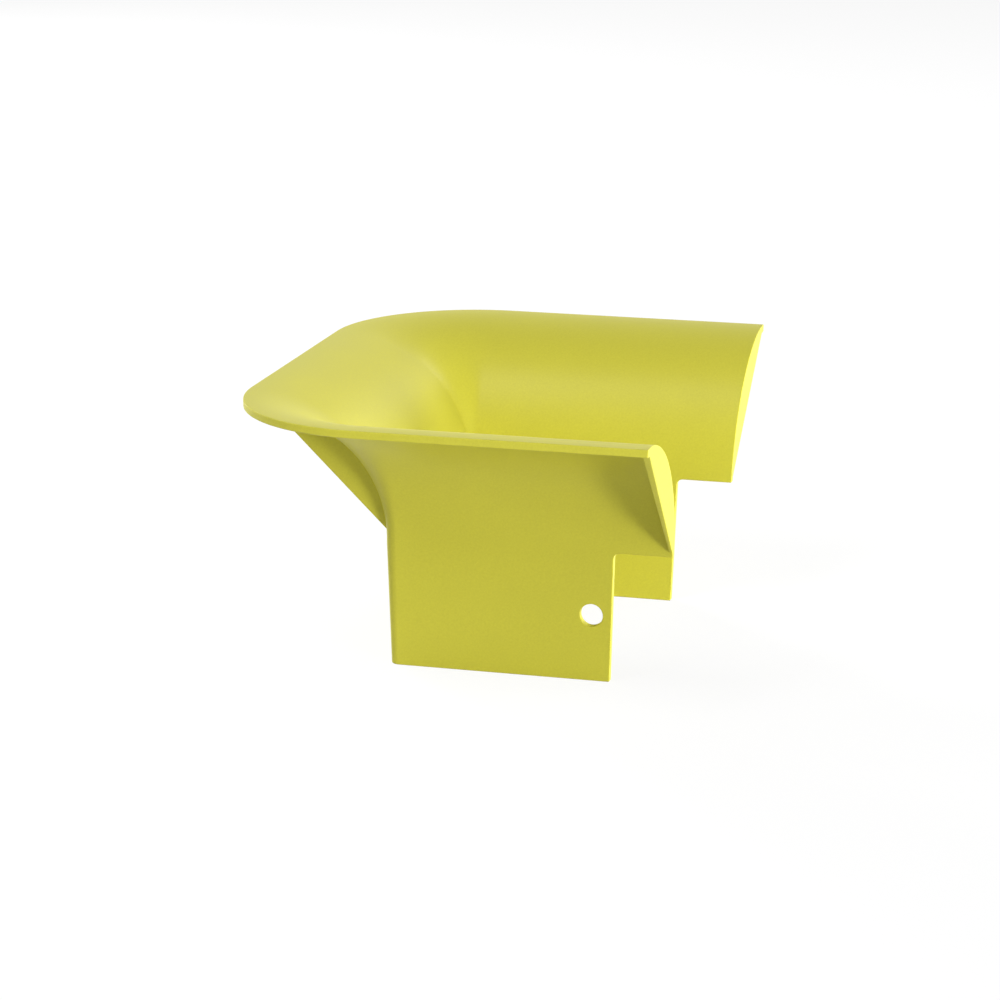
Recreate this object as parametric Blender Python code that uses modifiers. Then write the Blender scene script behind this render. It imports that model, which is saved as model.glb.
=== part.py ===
import math

import bmesh
import bpy
from mathutils import Matrix, Vector

MM = 0.001

# Sleeve: three drafted walls, U-shaped in plan, open towards +X.
SLEEVE_WIDTH = 104.8 * MM
WALL = 2.95 * MM
CORNER_RADIUS = 3.2 * MM
DRAFT = math.radians(1.83)
HEIGHT = 96.2 * MM

# Reach of the front and back walls, from the left wall's foot: the short
# tongues below the shoulder, and the full length above it.
TONGUE_REACH = 79.0 * MM
MOUTH_REACH = 99.5 * MM
SHOULDER_HEIGHT = 46.7 * MM
NOTCH_RADIUS = 2.3 * MM

# Bell-mouth flare: one quarter turn of the wall, then a short flat rim.
FLARE_RADIUS = 50.8 * MM
RIM_FLAT = 1.2 * MM
RIM_EDGE = 2.7 * MM
RIM_ROUND = 0.3 * MM

# Ribs and end plates: straight-edged webs under the flare, whose foot stands
# just above the level where the flare starts to turn.
WEB_FOOT_RISE = 2.9 * MM
WEB_RIM_GAP = 3.1 * MM
RIB_THICKNESS = 2.6 * MM
RIB_INSET = 2.7 * MM
PLATE_INNER_REACH = 99.8 * MM

# Screw holes, one through each tongue, on one line.
SCREW_RADIUS = 4.03 * MM
SCREW_SETBACK = 6.4 * MM
SCREW_HEIGHT = 23.8 * MM

FLARE_STEPS = 18
CORNER_STEPS = 24
ROUND_STEPS = 4
HOLE_STEPS = 48

LEAN = math.tan(DRAFT)
HALF_WIDTH = SLEEVE_WIDTH / 2

# Flare centre and rim, measured outwards from the wall's outer face at the foot.
FLARE_CENTRE_HEIGHT = HEIGHT - FLARE_RADIUS
FLARE_CENTRE_OUT = FLARE_RADIUS / math.cos(DRAFT) + LEAN * FLARE_CENTRE_HEIGHT - WALL
RIM_OUT = FLARE_CENTRE_OUT + RIM_FLAT

# The part stands with the middle of its bounding box over the origin.
LEFT_FACE = (RIM_OUT - MOUTH_REACH - LEAN * HEIGHT) / 2


def new_collection(name):
    collection = bpy.data.collections.new(name)
    bpy.context.scene.collection.children.link(collection)
    return collection


def yellow_plastic():
    material = bpy.data.materials.new("yellow_plastic")
    material.use_nodes = True
    shader = material.node_tree.nodes["Principled BSDF"]
    shader.inputs["Base Color"].default_value = (0.60, 0.55, 0.06, 1.0)
    shader.inputs["Roughness"].default_value = 0.45
    return material


def arc(centre, radius, start, end, steps):
    points = []
    for step in range(steps + 1):
        angle = start + (end - start) * step / steps
        points.append((centre[0] + radius * math.cos(angle), centre[1] + radius * math.sin(angle)))
    return points


def wall_profile():
    """Closed section of wall, flare and rim as (outwards, up) pairs."""
    centre = (FLARE_CENTRE_OUT, FLARE_CENTRE_HEIGHT)
    tangent = math.pi + DRAFT
    top = math.pi / 2
    points = [(0.0, 0.0)]
    points += arc(centre, FLARE_RADIUS - WALL, tangent, top, FLARE_STEPS)
    low = (RIM_OUT - RIM_ROUND, HEIGHT - RIM_EDGE + RIM_ROUND)
    high = (RIM_OUT - RIM_ROUND, HEIGHT - RIM_ROUND)
    points += arc(low, RIM_ROUND, -math.pi / 2, 0.0, ROUND_STEPS)
    points += arc(high, RIM_ROUND, 0.0, math.pi / 2, ROUND_STEPS)
    points += arc(centre, FLARE_RADIUS, top, tangent, FLARE_STEPS)
    points.append((-WALL, 0.0))
    return points


def edges_of(result):
    return [item for item in result if isinstance(item, bmesh.types.BMEdge)]


def extrude_by(mesh, edges, offset):
    result = bmesh.ops.extrude_edge_only(mesh, edges=edges)["geom"]
    verts = [item for item in result if isinstance(item, bmesh.types.BMVert)]
    bmesh.ops.translate(mesh, verts=verts, vec=offset)
    return edges_of(result)


def finish_mesh(mesh, name, collection, material=None):
    bmesh.ops.remove_doubles(mesh, verts=mesh.verts, dist=0.0001 * MM)
    bmesh.ops.recalc_face_normals(mesh, faces=mesh.faces)
    data = bpy.data.meshes.new(name)
    mesh.to_mesh(data)
    mesh.free()
    if material:
        data.materials.append(material)
    item = bpy.data.objects.new(name, data)
    collection.objects.link(item)
    return item


def build_shell(collection, material):
    """Front half of the shell: the section is drawn straight, round the corner, then to the middle."""
    mesh = bmesh.new()
    start = LEFT_FACE + MOUTH_REACH + LEAN * HEIGHT + 2 * WALL
    verts = []
    for out, up in wall_profile():
        verts.append(mesh.verts.new((start, -HALF_WIDTH - out, up)))
    edges = []
    for index, vert in enumerate(verts):
        edges.append(mesh.edges.new((vert, verts[(index + 1) % len(verts)])))
    mesh.faces.new(verts)
    corner = Vector((LEFT_FACE + CORNER_RADIUS, CORNER_RADIUS - HALF_WIDTH, 0.0))
    edges = extrude_by(mesh, edges, Vector((corner.x - start, 0.0, 0.0)))
    turned = bmesh.ops.spin(
        mesh,
        geom=edges,
        cent=corner,
        axis=(0.0, 0.0, 1.0),
        dvec=(0.0, 0.0, 0.0),
        angle=-math.pi / 2,
        steps=CORNER_STEPS,
    )
    edges = edges_of(turned["geom_last"])
    extrude_by(mesh, edges, Vector((0.0, -corner.y, 0.0)))
    shell = finish_mesh(mesh, "trumpet_fitting", collection, material)
    for face in shell.data.polygons:
        face.use_smooth = True
    mirror = shell.modifiers.new("other_half", "MIRROR")
    mirror.use_axis = (False, True, False)
    mirror.use_mirror_merge = True
    mirror.merge_threshold = 0.01 * MM
    return shell


def web_outline():
    """Web between a 45-degree straight edge and the middle of the shell's wall."""
    middle = FLARE_RADIUS - WALL / 2
    foot_height = FLARE_CENTRE_HEIGHT + WEB_FOOT_RISE
    foot = (LEAN * foot_height, foot_height)
    rim = (RIM_OUT - WEB_RIM_GAP, HEIGHT - RIM_EDGE)
    slope = (rim[1] - foot[1]) / (rim[0] - foot[0])
    rise = WALL / 2
    points = [(foot[0] - rise / slope, foot[1] - rise), (rim[0] + rise / slope, rim[1] + rise)]
    centre = (FLARE_CENTRE_OUT, FLARE_CENTRE_HEIGHT)
    points += arc(centre, middle, math.radians(100), math.radians(175), FLARE_STEPS // 2)
    return points


def extruded(outline, to_world, depth, name, collection):
    """Prism over a flat outline; to_world maps outline x, y and depth to the part's axes."""
    mesh = bmesh.new()
    verts = [mesh.verts.new((x, y, 0.0)) for x, y in outline]
    face = mesh.faces.new(verts)
    result = bmesh.ops.extrude_face_region(mesh, geom=[face], use_keep_orig=True)["geom"]
    moved = [item for item in result if isinstance(item, bmesh.types.BMVert)]
    bmesh.ops.translate(mesh, verts=moved, vec=(0.0, 0.0, depth))
    bmesh.ops.transform(mesh, matrix=to_world, verts=mesh.verts)
    item = finish_mesh(mesh, name, collection)
    item.display_type = "WIRE"
    item.hide_render = True
    return item


def boolean(target, tool, operation):
    modifier = target.modifiers.new(tool.name, "BOOLEAN")
    modifier.operation = operation
    modifier.solver = "EXACT"
    modifier.object = tool


def add_ribs(shell, collection):
    """A rib under the left flare at the start of each corner."""
    for side, label in ((-1, "front"), (1, "back")):
        origin_y = side * (HALF_WIDTH - RIB_INSET) - (RIB_THICKNESS if side > 0 else 0.0)
        to_world = Matrix((
            (-1.0, 0.0, 0.0, LEFT_FACE),
            (0.0, 0.0, 1.0, origin_y),
            (0.0, 1.0, 0.0, 0.0),
            (0.0, 0.0, 0.0, 1.0),
        ))
        rib = extruded(web_outline(), to_world, RIB_THICKNESS, label + "_rib", collection)
        boolean(shell, rib, "UNION")


def add_end_plates(shell, collection):
    """A plate closing the flare at each end of the mouth, trimmed later with the walls."""
    depth = MOUTH_REACH + LEAN * HEIGHT + WALL - PLATE_INNER_REACH
    for side, label in ((-1, "front"), (1, "back")):
        to_world = Matrix((
            (0.0, 0.0, 1.0, LEFT_FACE + PLATE_INNER_REACH),
            (side, 0.0, 0.0, side * HALF_WIDTH),
            (0.0, 1.0, 0.0, 0.0),
            (0.0, 0.0, 0.0, 1.0),
        ))
        plate = extruded(web_outline(), to_world, depth, label + "_end_plate", collection)
        boolean(shell, plate, "UNION")


def notch_fillet():
    """Rounded inner corner between the leaning end of a tongue and the shoulder above it."""
    across = TONGUE_REACH + LEAN * (SHOULDER_HEIGHT - NOTCH_RADIUS) + NOTCH_RADIUS / math.cos(DRAFT)
    centre = (across, SHOULDER_HEIGHT - NOTCH_RADIUS)
    return arc(centre, NOTCH_RADIUS, math.pi - DRAFT, math.pi / 2, 2 * ROUND_STEPS)


def trim_mouth(shell, collection):
    """Cuts both walls back to the leaning mouth and the shorter tongues in one pass."""
    beyond = MOUTH_REACH + HEIGHT
    above = HEIGHT + WALL
    below = -WALL
    outline = [(TONGUE_REACH + LEAN * below, below)]
    outline += notch_fillet()
    outline.append((MOUTH_REACH + LEAN * SHOULDER_HEIGHT, SHOULDER_HEIGHT))
    outline.append((MOUTH_REACH + LEAN * above, above))
    outline.append((beyond, above))
    outline.append((beyond, below))
    span = HALF_WIDTH + RIM_OUT + WALL
    to_world = Matrix((
        (1.0, 0.0, 0.0, LEFT_FACE),
        (0.0, 0.0, 1.0, -span),
        (0.0, 1.0, 0.0, 0.0),
        (0.0, 0.0, 0.0, 1.0),
    ))
    cutter = extruded(outline, to_world, 2 * span, "mouth_cutter", collection)
    boolean(shell, cutter, "DIFFERENCE")


def drill_tongues(shell, collection):
    bpy.ops.mesh.primitive_cylinder_add(
        vertices=HOLE_STEPS,
        radius=SCREW_RADIUS,
        depth=SLEEVE_WIDTH + 4 * WALL,
        location=(LEFT_FACE + TONGUE_REACH - SCREW_SETBACK, 0.0, SCREW_HEIGHT),
        rotation=(math.pi / 2, 0.0, 0.0),
    )
    drill = bpy.context.object
    drill.name = "screw_hole_cutter"
    bpy.ops.object.transform_apply(location=True, rotation=True, scale=True)
    for owner in list(drill.users_collection):
        owner.objects.unlink(drill)
    collection.objects.link(drill)
    drill.display_type = "WIRE"
    drill.hide_render = True
    boolean(shell, drill, "DIFFERENCE")


for item in list(bpy.data.objects):
    bpy.data.objects.remove(item, do_unlink=True)
part = new_collection("raceway_trumpet_fitting")
tools = new_collection("cutters")
fitting = build_shell(part, yellow_plastic())
add_ribs(fitting, tools)
add_end_plates(fitting, tools)
trim_mouth(fitting, tools)
drill_tongues(fitting, tools)
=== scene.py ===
import math

import bpy
from mathutils import Matrix, Vector


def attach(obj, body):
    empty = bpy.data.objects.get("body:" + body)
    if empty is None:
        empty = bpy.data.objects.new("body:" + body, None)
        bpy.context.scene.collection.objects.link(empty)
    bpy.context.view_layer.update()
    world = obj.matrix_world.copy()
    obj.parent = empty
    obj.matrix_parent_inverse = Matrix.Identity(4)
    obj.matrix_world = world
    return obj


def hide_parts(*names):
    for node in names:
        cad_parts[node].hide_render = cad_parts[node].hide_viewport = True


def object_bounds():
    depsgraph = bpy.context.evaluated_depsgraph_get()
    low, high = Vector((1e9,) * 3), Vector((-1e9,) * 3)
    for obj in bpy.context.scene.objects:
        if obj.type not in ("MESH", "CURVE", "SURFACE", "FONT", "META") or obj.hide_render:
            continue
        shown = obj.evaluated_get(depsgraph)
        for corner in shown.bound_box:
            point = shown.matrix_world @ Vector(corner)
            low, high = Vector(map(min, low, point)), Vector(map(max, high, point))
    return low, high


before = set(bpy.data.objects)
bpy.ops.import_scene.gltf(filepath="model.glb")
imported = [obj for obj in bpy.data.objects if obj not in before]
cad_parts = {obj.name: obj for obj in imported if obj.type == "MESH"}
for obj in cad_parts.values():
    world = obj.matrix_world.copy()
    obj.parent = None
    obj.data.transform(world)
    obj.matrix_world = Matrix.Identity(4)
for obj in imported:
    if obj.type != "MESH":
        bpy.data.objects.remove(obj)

cad_low, cad_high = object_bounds()

# The fitting: one injection moulding in yellow plastic. A U-shaped sleeve of
# drafted walls turns out over a quarter circle into a flare with a flat rim;
# ribs and end plates stiffen it from below, and a screw goes through each tongue.


class Wire:
    """An output socket that takes part in Python sums."""

    def __init__(self, tree, socket=None):
        self.tree = tree
        self.socket = socket

    def put(self, kind, settings, inputs, output=0):
        """Adds a node: its type, its settings, then the values or links of its sockets."""
        node = self.tree.nodes.new(kind)
        for name, value in settings.items():
            setattr(node, name, value)
        for name, value in inputs.items():
            for item in value if isinstance(value, list) else [value]:
                if isinstance(item, Wire):
                    self.tree.links.new(item.socket, node.inputs[name])
                else:
                    node.inputs[name].default_value = item
        return Wire(self.tree, node.outputs[output])

    def beside(self, output):
        """Another output of the same node."""
        return Wire(self.tree, self.socket.node.outputs[output])

    def maths(self, operation, *values):
        return self.put("ShaderNodeMath", {"operation": operation}, dict(enumerate(values)))

    def __add__(self, other):
        return self.maths("ADD", self, other)

    def __radd__(self, other):
        return self.maths("ADD", other, self)

    def __sub__(self, other):
        return self.maths("SUBTRACT", self, other)

    def __rsub__(self, other):
        return self.maths("SUBTRACT", other, self)

    def __mul__(self, other):
        return self.maths("MULTIPLY", self, other)

    def __rmul__(self, other):
        return self.maths("MULTIPLY", other, self)

    def __truediv__(self, other):
        return self.maths("DIVIDE", self, other)

    def __rtruediv__(self, other):
        return self.maths("DIVIDE", other, self)

    def __neg__(self):
        return self.maths("MULTIPLY", self, -1.0)

    def __gt__(self, other):
        return self.maths("GREATER_THAN", self, other)

    def __lt__(self, other):
        return self.maths("LESS_THAN", self, other)

    def clamp(self):
        return self.put("ShaderNodeClamp", {}, {"Value": self})


MM = 0.001
DRAFT = math.radians(1.83)
WALL = 2.95 * MM
HEIGHT = 96.2 * MM
FLARE_RADIUS = 50.8 * MM
RIM_FLAT = 1.2 * MM
RIM_REACH = (
    FLARE_RADIUS / math.cos(DRAFT)
    + math.tan(DRAFT) * (HEIGHT - FLARE_RADIUS)
    - WALL
    + RIM_FLAT
)
sizes = {
    "Sleeve width": 104.8 * MM,
    "Wall": WALL,
    "Corner radius": 3.2 * MM,
    "Draft": DRAFT,
    "Height": HEIGHT,
    "Tongue reach": 79.0 * MM,
    "Mouth reach": 99.5 * MM,
    "Shoulder height": 46.7 * MM,
    "Notch radius": 2.3 * MM,
    "Flare radius": FLARE_RADIUS,
    "Rim flat": RIM_FLAT,
    "Rim edge": 2.7 * MM,
    "Web foot height": 48.3 * MM,
    "Web rim gap": 3.1 * MM,
    "Rib thickness": 2.6 * MM,
    "Rib inset": 2.7 * MM,
    "Plate inner reach": 99.8 * MM,
    "Screw radius": 4.03 * MM,
    "Screw setback": 6.4 * MM,
    "Screw height": 23.8 * MM,
    "Left face": cad_low.x + RIM_REACH,
}
FLARE_STEPS = 60
CORNER_STEPS = 40
NOTCH_STEPS = 10
HOLE_STEPS = 64

tree = bpy.data.node_groups.new("trumpet_moulding", "GeometryNodeTree")
tree.interface.new_socket("Geometry", in_out="OUTPUT", socket_type="NodeSocketGeometry")
tree.interface.new_socket("Geometry", in_out="INPUT", socket_type="NodeSocketGeometry")
identifiers = {}
for label in sizes:
    socket = tree.interface.new_socket(label, in_out="INPUT", socket_type="NodeSocketFloat")
    identifiers[label] = socket.identifier
socket = tree.interface.new_socket("Plastic", in_out="INPUT", socket_type="NodeSocketMaterial")
identifiers["Plastic"] = socket.identifier
group = tree.nodes.new("NodeGroupInput")
geo = Wire(tree)


def size(label):
    return Wire(tree, group.outputs[label])


wall = size("Wall")
height = size("Height")
radius = size("Flare radius")
left = size("Left face")
lean = geo.maths("TANGENT", size("Draft"))
half = size("Sleeve width") / 2
centre_up = height - radius
centre_out = radius / geo.maths("COSINE", size("Draft")) + lean * centre_up - wall
rim_out = centre_out + size("Rim flat")
index = geo.put("GeometryNodeInputIndex", {}, {})


def point(x, y, z=0.0):
    return geo.put("ShaderNodeCombineXYZ", {}, {"X": x, "Y": y, "Z": z})


def line_through(count, x, y, closed=False):
    """One straight-sided level spline through the points that x and y give for each index."""
    points = geo.put("GeometryNodePoints", {}, {"Count": count, "Position": point(x, y)})
    spline = geo.put("GeometryNodePointsToCurves", {}, {"Points": points, "Weight": index})
    if closed:
        spline = geo.put("GeometryNodeSetSplineCyclic", {}, {"Geometry": spline, "Cyclic": True})
    return spline


def straight(start, end):
    return geo.put(
        "GeometryNodeCurvePrimitiveLine", {"mode": "POINTS"}, {"Start": start, "End": end}
    )


def sweep(path, section):
    """Carries a section along a level path: its first axis goes left of the way, its second up."""
    upright = geo.put("GeometryNodeSetCurveNormal", {"mode": "Z_UP"}, {"Curve": path})
    return geo.put(
        "GeometryNodeCurveToMesh",
        {},
        {"Curve": upright, "Profile Curve": section, "Fill Caps": True},
    )


# Section of the wall: the outer face runs up from the foot and round under the
# flare to the rim, and the inner face comes back the same way.
count = 2 * FLARE_STEPS + 6
inner = index > count / 2 - 0.5
step = index + inner * (count - 1 - 2 * index)
along = ((step - 1) / FLARE_STEPS).clamp()
turn = size("Draft") * (1 - along) + math.pi - math.pi / 2 * along
reach = radius - wall * (1 - inner)
at_foot = step < 0.5
at_rim = step > FLARE_STEPS + 1.5
on_arc = 1 - at_foot - at_rim
out = (
    on_arc * (centre_out + reach * geo.maths("COSINE", turn))
    + at_rim * rim_out
    - at_foot * inner * wall
)
up = (
    on_arc * (centre_up + reach * geo.maths("SINE", turn))
    + at_rim * (height - size("Rim edge") * (1 - inner))
)
section = line_through(count, -out, -up, closed=True)

# Path of the wall's outer face at the foot: in from the front mouth, round both
# corners, and out past the back mouth.
count = 2 * CORNER_STEPS + 4
back = index > count / 2 - 0.5
step = index + back * (count - 1 - 2 * index)
turn = math.pi / 2 + math.pi / 2 * ((step - 1) / CORNER_STEPS).clamp()
corner = size("Corner radius")
past = (step < 0.5) * (size("Mouth reach") + lean * height + 2 * wall - corner)
path = line_through(
    count,
    left + corner + corner * geo.maths("COSINE", turn) + past,
    (2 * back - 1) * (half - corner + corner * geo.maths("SINE", turn)),
)
shell = sweep(path, section)

# Ribs and end plates share one outline: a straight sloping edge in front, and
# the middle of the wall's own curve behind, where they are moulded into it.
WEB_ARC_START = math.radians(100)
WEB_ARC_SPAN = math.radians(75)
count = FLARE_STEPS + 3
foot_up = size("Web foot height")
foot_out = lean * foot_up
tip_up = height - size("Rim edge")
tip_out = rim_out - size("Web rim gap")
rise = wall / 2
run = rise * (tip_out - foot_out) / (tip_up - foot_up)
first = index < 0.5
second = (index < 1.5) - first
on_arc = 1 - first - second
turn = WEB_ARC_START + WEB_ARC_SPAN * (index - 2) / FLARE_STEPS
middle = radius - rise
out = (
    first * (foot_out - run)
    + second * (tip_out + run)
    + on_arc * (centre_out + middle * geo.maths("COSINE", turn))
)
up = (
    first * (foot_up - rise)
    + second * (tip_up + rise)
    + on_arc * (centre_up + middle * geo.maths("SINE", turn))
)
web = line_through(count, -out, -up, closed=True)
mouth_end = left + size("Mouth reach") + lean * height + wall
plate_start = left + size("Plate inner reach")
rib_start = half - size("Rib inset")
rib_end = rib_start - size("Rib thickness")
webs = [
    sweep(straight(start, end), web)
    for start, end in (
        (point(mouth_end, -half), point(plate_start, -half)),
        (point(left, -rib_start), point(left, -rib_end)),
        (point(left, rib_end), point(left, rib_start)),
        (point(plate_start, half), point(mouth_end, half)),
    )
]
body = geo.put(
    "GeometryNodeMeshBoolean", {"operation": "UNION", "solver": "EXACT"}, {1: [shell] + webs}
)

# Trimming: both walls end on a plane that leans with the draft, the tongues
# further back below the shoulder with a rounded inner corner, and each has a hole.
span = half + rim_out + wall
across = straight(point(0.0, -span), point(0.0, span))
beyond = left + size("Mouth reach") + height
cutters = []
for reach, top, fillet in (
    (size("Mouth reach"), height + wall, None),
    (size("Tongue reach"), size("Shoulder height"), size("Notch radius")),
):
    block = geo.put(
        "GeometryNodeCurvePrimitiveQuadrilateral",
        {"mode": "POINTS"},
        {
            "Point 1": point(left + reach - lean * wall, wall),
            "Point 2": point(left + reach + lean * top, -top),
            "Point 3": point(beyond, -top),
            "Point 4": point(beyond, wall),
        },
    )
    if fillet is not None:
        at_notch = (index > 0.5) * (index < 1.5)
        block = geo.put(
            "GeometryNodeFilletCurve",
            {"mode": "POLY"},
            {"Curve": block, "Count": NOTCH_STEPS, "Radius": fillet * at_notch},
        )
    cutters.append(sweep(across, block))
screw_out = left + size("Tongue reach") - size("Screw setback")
drill = geo.put(
    "GeometryNodeMeshCylinder",
    {},
    {"Vertices": HOLE_STEPS, "Radius": size("Screw radius"), "Depth": 2 * span},
)
drill = geo.put(
    "GeometryNodeTransform",
    {},
    {
        "Geometry": drill,
        "Translation": point(screw_out, 0.0, size("Screw height")),
        "Rotation": (math.pi / 2, 0.0, 0.0),
    },
)
body = geo.put(
    "GeometryNodeMeshBoolean",
    {"operation": "DIFFERENCE", "solver": "EXACT"},
    {0: body, 1: cutters + [drill]},
)

# The die leaves every outward edge slightly rounded, and inward edges crisp.
# Edges sharper than this angle count as edges; flatter ones are shaded smooth.
SHARP = math.radians(30)
angle = geo.put("GeometryNodeInputMeshEdgeAngle", {}, {}, "Unsigned Angle")
body = geo.put(
    "GeometryNodeMergeByDistance", {}, {"Geometry": body, "Distance": 0.002 * MM}
)
body = geo.put(
    "GeometryNodeSetShadeSmooth", {"domain": "FACE"}, {"Geometry": body, "Shade Smooth": True}
)
body = geo.put(
    "GeometryNodeSetShadeSmooth",
    {"domain": "EDGE"},
    {"Geometry": body, "Shade Smooth": angle < SHARP},
)
body = geo.put(
    "GeometryNodeStoreNamedAttribute",
    {"data_type": "FLOAT", "domain": "EDGE"},
    {
        "Geometry": body,
        "Name": "bevel_weight_edge",
        "Value": angle.beside("Signed Angle") > SHARP,
    },
)
body = geo.put("GeometryNodeRealizeInstances", {}, {"Geometry": body})
body = geo.put("GeometryNodeSetMaterial", {}, {"Geometry": body, "Material": size("Plastic")})
end = tree.nodes.new("NodeGroupOutput")
tree.links.new(body.socket, end.inputs[0])

# The plastic: slightly cloudy from the melt, with a fine mottle and a finer
# grain that the mould's blasted surface leaves in its colour, gloss and relief.
plastic = bpy.data.materials.new("satin_yellow_plastic")
plastic.use_nodes = True
skin = Wire(plastic.node_tree)
shader = plastic.node_tree.nodes["Principled BSDF"]
place = skin.put("ShaderNodeTexCoord", {}, {}, "Object")


def noise(scale, detail, roughness):
    return skin.put(
        "ShaderNodeTexNoise",
        {},
        {"Vector": place, "Scale": scale, "Detail": detail, "Roughness": roughness},
    )


cloud = noise(45.0, 3.0, 0.5)
mottle = noise(1500.0, 2.0, 0.6)
grain = noise(3200.0, 2.0, 0.5)
tone = (0.5 + (cloud - 0.5) * 0.5 + (mottle - 0.5) * 1.6).clamp()
darker = (0.542, 0.507, 0.05, 1.0)
lighter = (0.608, 0.573, 0.058, 1.0)
colour = skin.put(
    "ShaderNodeMix", {"data_type": "RGBA"}, {"Factor": tone, "A": darker, "B": lighter}, "Result"
)
roughness = 0.38 + (mottle - 0.5) * 0.12 + (cloud - 0.5) * 0.05
relief = mottle * 0.7 + grain * 0.3
bump = skin.put(
    "ShaderNodeBump", {}, {"Strength": 0.25, "Distance": 0.05 * MM, "Height": relief}
)
for name, value in (("Base Color", colour), ("Roughness", roughness), ("Normal", bump)):
    plastic.node_tree.links.new(value.socket, shader.inputs[name])
shader.inputs["IOR"].default_value = 1.5
shader.inputs["Specular IOR Level"].default_value = 0.165

fitting = bpy.data.objects.new("trumpet_moulding", bpy.data.meshes.new("trumpet_moulding"))
bpy.context.scene.collection.objects.link(fitting)
moulding = fitting.modifiers.new("moulding", "NODES")
moulding.node_group = tree
for label, value in sizes.items():
    moulding[identifiers[label]] = value
moulding[identifiers["Plastic"]] = plastic
edges = fitting.modifiers.new("edges", "BEVEL")
edges.limit_method = "WEIGHT"
edges.width = 0.35 * MM
edges.segments = 3
edges.use_clamp_overlap = False
edges.harden_normals = True
weld = fitting.modifiers.new("weld", "WELD")
weld.merge_threshold = 0.001 * MM
evaluated = fitting.evaluated_get(bpy.context.evaluated_depsgraph_get())
mesh = bpy.data.meshes.new_from_object(evaluated)
fitting.modifiers.clear()
fitting.data = mesh
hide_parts("trumpet_fitting")
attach(fitting, "root")

# The studio: a plain pale floor in a white surround, nine soft boxes all round,
# most of them low, and a camera far back with a long lens.
FLOOR_HALF = 6.0
GLOW_SHARE = 0.8
floor_mesh = bpy.data.meshes.new("studio_floor")
floor_mesh.from_pydata(
    [
        (-FLOOR_HALF, -FLOOR_HALF, 0.0),
        (FLOOR_HALF, -FLOOR_HALF, 0.0),
        (FLOOR_HALF, FLOOR_HALF, 0.0),
        (-FLOOR_HALF, FLOOR_HALF, 0.0),
    ],
    [],
    [(0, 1, 2, 3)],
)
floor = bpy.data.objects.new("studio_floor", floor_mesh)
bpy.context.scene.collection.objects.link(floor)


def in_view(nodes):
    """1 for what the camera sees, straight, in a reflection or through glass; 0 for light."""
    rays = nodes.put("ShaderNodeLightPath", {}, {}, "Is Camera Ray")
    return (rays + rays.beside("Is Glossy Ray") + rays.beside("Is Transmission Ray")).clamp()


paper = bpy.data.materials.new("white_paper")
paper.use_nodes = True
sheet = Wire(paper.node_tree)
shade = paper.node_tree.nodes["Principled BSDF"]
shade.inputs["Base Color"].default_value = (0.6, 0.6, 0.6, 1.0)
shade.inputs["Roughness"].default_value = 0.9
shade.inputs["Specular IOR Level"].default_value = 0.0
glow = sheet.put("ShaderNodeEmission", {}, {"Color": (1.0, 1.0, 1.0, 1.0), "Strength": 1.12})
paper_mix = sheet.put(
    "ShaderNodeMixShader",
    {},
    {0: in_view(sheet) * GLOW_SHARE, 1: Wire(paper.node_tree, shade.outputs[0]), 2: glow},
)
paper_output = paper.node_tree.nodes["Material Output"]
paper.node_tree.links.new(paper_mix.socket, paper_output.inputs["Surface"])
floor.data.materials.append(paper)

world = bpy.data.worlds.new("white_surround")
world.use_nodes = True
bpy.context.scene.world = world
backdrop = world.node_tree.nodes["Background"]
backdrop.inputs["Color"].default_value = (1.0, 1.0, 1.0, 1.0)
surround = in_view(Wire(world.node_tree))
world.node_tree.links.new(surround.socket, backdrop.inputs["Strength"])

LAMP_DISTANCE = 2.0


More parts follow.
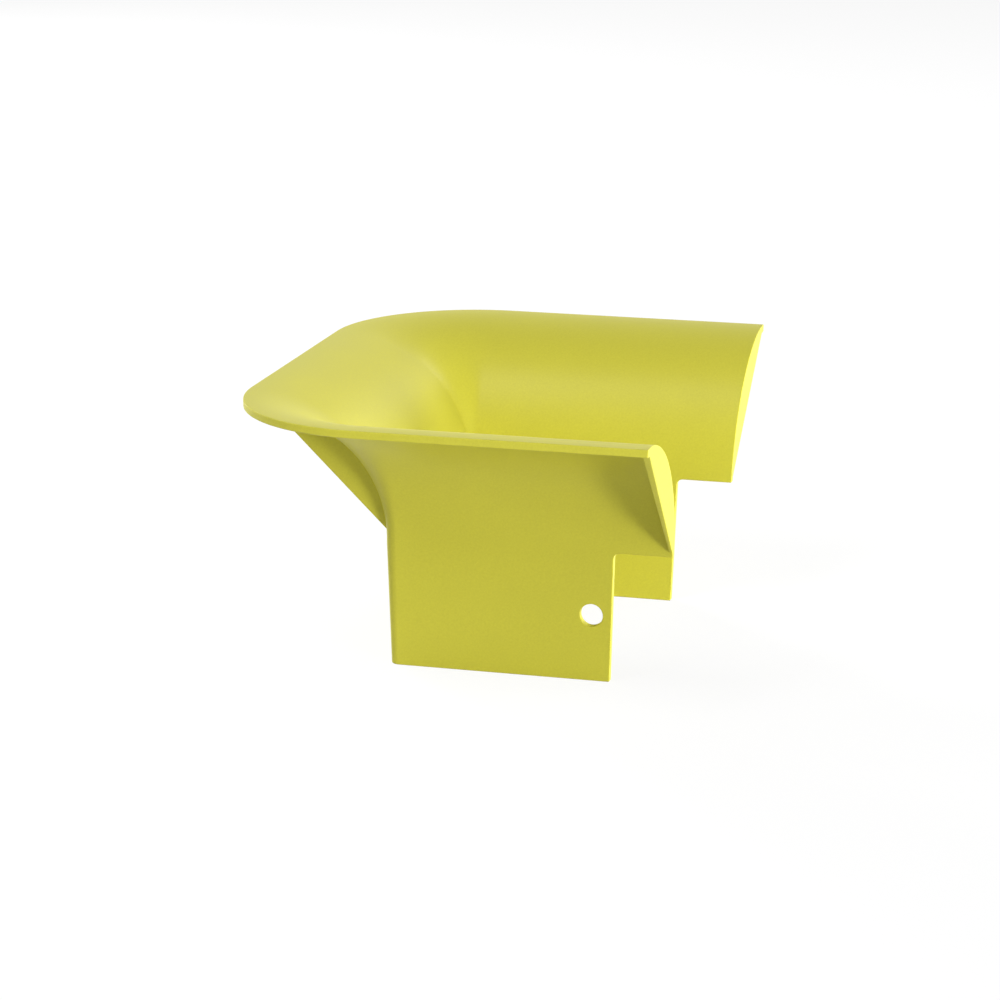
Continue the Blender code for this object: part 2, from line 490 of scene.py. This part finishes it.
def softbox(name, azimuth, elevation, wide, tall, level, reflected=False):
    """A lamp that faces the part, with azimuth 0 in front and 90 on the right, in degrees.

    Level 1 makes white paper that faces it white. Only the high boxes show in reflections,
    as the low ones would blow out the rim's flat top from the other side.
    """
    turn = math.radians(azimuth)
    lift = math.radians(elevation)
    way = Vector(
        (math.sin(turn) * math.cos(lift), -math.cos(turn) * math.cos(lift), math.sin(lift))
    )
    lamp = bpy.data.lights.new(name, "AREA")
    lamp.shape = "RECTANGLE"
    lamp.size = wide
    lamp.size_y = tall
    lamp.energy = level * (math.pi * LAMP_DISTANCE) ** 2
    box = bpy.data.objects.new(name, lamp)
    box.location = LAMP_DISTANCE * way
    box.rotation_mode = "QUATERNION"
    box.rotation_quaternion = way.to_track_quat("Z", "Y")
    box.visible_camera = False
    box.visible_glossy = reflected
    bpy.context.scene.collection.objects.link(box)


softbox("front_right_low_softbox", 52.0, 4.0, 0.45, 0.24, 0.45)
softbox("front_right_high_softbox", 54.0, 18.0, 0.87, 0.4, 0.27)
softbox("right_softbox", 96.0, 4.0, 0.73, 0.24, 0.56)
softbox("back_right_low_softbox", 128.0, 4.0, 0.73, 0.24, 0.89)
softbox("back_right_high_softbox", 150.0, 30.0, 1.05, 0.6, 0.14, reflected=True)
softbox("back_left_softbox", -132.0, 18.0, 0.45, 0.4, 0.73)
softbox("left_softbox", -100.0, 30.0, 1.6, 0.6, 0.39, reflected=True)
softbox("front_left_softbox", -36.0, 55.0, 0.45, 1.2, 0.49, reflected=True)
softbox("front_softbox", 4.0, 4.0, 1.0, 0.24, 0.09)

yaw = math.radians(14.810)
pitch = math.radians(14.832)
roll = math.radians(0.103)
forward = Vector(
    (-math.sin(yaw) * math.cos(pitch), math.cos(yaw) * math.cos(pitch), -math.sin(pitch))
)
right = Vector((math.cos(yaw), math.sin(yaw), 0.0))
upward = right.cross(forward)
rolled_right = math.cos(roll) * right + math.sin(roll) * upward
rolled_up = math.cos(roll) * upward - math.sin(roll) * right
lens = bpy.data.cameras.new("camera")
lens.lens = 117.81
lens.sensor_width = 36.0
lens.clip_start = 0.05
lens.clip_end = 50.0
camera = bpy.data.objects.new("camera", lens)
camera.rotation_mode = "QUATERNION"
turned = Matrix((rolled_right, rolled_up, -forward)).transposed()
camera.rotation_quaternion = turned.to_quaternion()
camera.location = (0.29157, -1.10256, 0.35003)
bpy.context.scene.collection.objects.link(camera)
bpy.context.scene.camera = camera
bpy.context.scene.view_settings.view_transform = "Standard"

bpy.context.view_layer.update()
